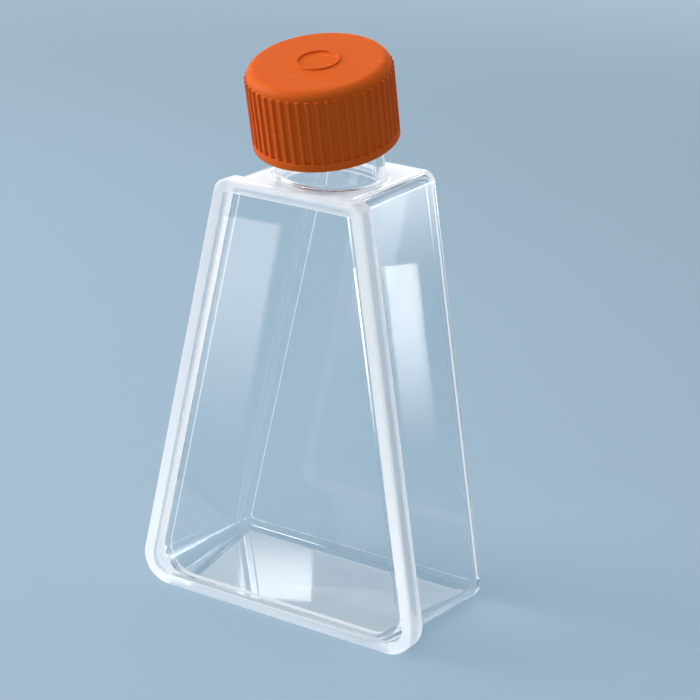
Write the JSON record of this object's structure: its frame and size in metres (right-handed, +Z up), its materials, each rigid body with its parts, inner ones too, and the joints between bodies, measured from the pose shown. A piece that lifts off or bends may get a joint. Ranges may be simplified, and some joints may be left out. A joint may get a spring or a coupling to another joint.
{
  "type": "cell culture flask",
  "caption": "Clear tapered cell culture flask standing on its wide base, with a leaning round neck and a ribbed orange screw cap.",
  "frame": {"origin": "middle of the flat base that the flask stands on, halfway between the top plate's rim and the growth wall's rim", "axes": "+Z up from the base to the neck; X across the width; -Y out of the top plate, the side the neck leans to; +Y out of the growth wall"},
  "size_m": [0.0544, 0.0315, 0.0976],
  "materials": {
    "clear_polystyrene": "clear moulded polystyrene",
    "orange_cap": "satin moulded plastic",
    "liner": "matt foam disc"
  },
  "bodies": {
    "flask": {"flask_tray": "clear_polystyrene", "top_plate": "clear_polystyrene"},
    "liner": {"cap_liner": "liner"},
    "cap": {"screw_cap": "orange_cap"}
  },
  "joints": [
    {"name": "cap_lift", "type": "slide", "parent": "flask", "child": "liner", "axis": [0, -0.2588, 0.9659], "range_m": [0, 0.0128]},
    {"name": "cap_turn", "type": "hinge", "parent": "liner", "child": "cap", "pos_m": [0, -0.00555, 0.09243], "axis": [0, -0.2588, 0.9659], "range_deg": [0, 1440]}
  ],
  "couplings": [
    {"joint": "cap_lift", "follows": "cap_turn", "m_per_rad": 0.00050929}
  ]
}
